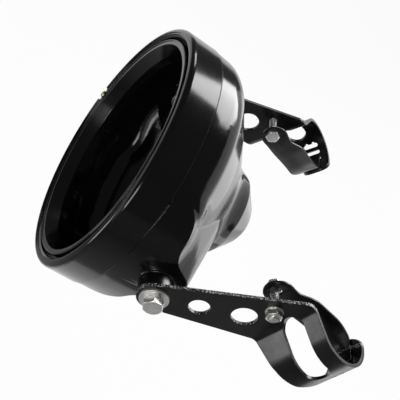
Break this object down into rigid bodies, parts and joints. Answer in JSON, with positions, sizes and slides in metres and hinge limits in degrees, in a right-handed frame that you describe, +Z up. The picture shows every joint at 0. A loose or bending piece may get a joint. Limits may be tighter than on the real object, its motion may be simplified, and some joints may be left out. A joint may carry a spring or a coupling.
{
  "type": "motorcycle headlight housing with fork brackets",
  "caption": "Empty round black motorcycle headlight housing with trim ring and lamp ring, and bolted side brackets that clamp round the fork legs with hooked straps.",
  "frame": {"origin": "on the lamp axis, in the plane of the bucket's front rim, inside the lamp ring's bore", "axes": "-Y the way the lamp shines, +Z up, +X to the rider's left"},
  "size_m": [0.2714, 0.2014, 0.1948],
  "materials": {
    "gloss_black": "gloss",
    "satin_black": "satin",
    "bright_steel": "polished",
    "zinc_steel": "satin",
    "pale_brass": "satin",
    "rubber": "matte"
  },
  "bodies": {
    "right_bracket": {"right_bracket": "satin_black", "right_clamp_strap": "satin_black", "right_clamp_bolt": "zinc_steel", "right_clamp_washer": "zinc_steel", "right_clamp_nut": "zinc_steel"},
    "lamp": {"bucket": "gloss_black", "trim_ring": "gloss_black", "lamp_ring": "gloss_black", "lamp_seal": "rubber", "ring_screw": "pale_brass", "ring_nut": "zinc_steel", "wire_grommet": "rubber", "left_side_bolt": "bright_steel", "left_spring_washer": "bright_steel", "left_flat_washer": "bright_steel", "left_spacer": "satin_black", "left_inner_washer": "zinc_steel", "left_side_nut": "zinc_steel", "right_side_bolt": "bright_steel", "right_spring_washer": "bright_steel", "right_flat_washer": "bright_steel", "right_spacer": "satin_black", "right_inner_washer": "zinc_steel", "right_side_nut": "zinc_steel"},
    "left_bracket": {"left_bracket": "satin_black", "left_clamp_strap": "satin_black", "left_clamp_bolt": "zinc_steel", "left_clamp_washer": "zinc_steel", "left_clamp_nut": "zinc_steel"}
  },
  "joints": [
    {"name": "lamp_tilt", "type": "hinge", "parent": "right_bracket", "child": "lamp", "pos_m": [-0.108, 0.04, 0], "axis": [1, 0, 0], "range_deg": [-45, 45]},
    {"name": "left_bracket_swing", "type": "hinge", "parent": "lamp", "child": "left_bracket", "pos_m": [0.108, 0.04, 0], "axis": [1, 0, 0], "range_deg": [-45, 45]}
  ]
}
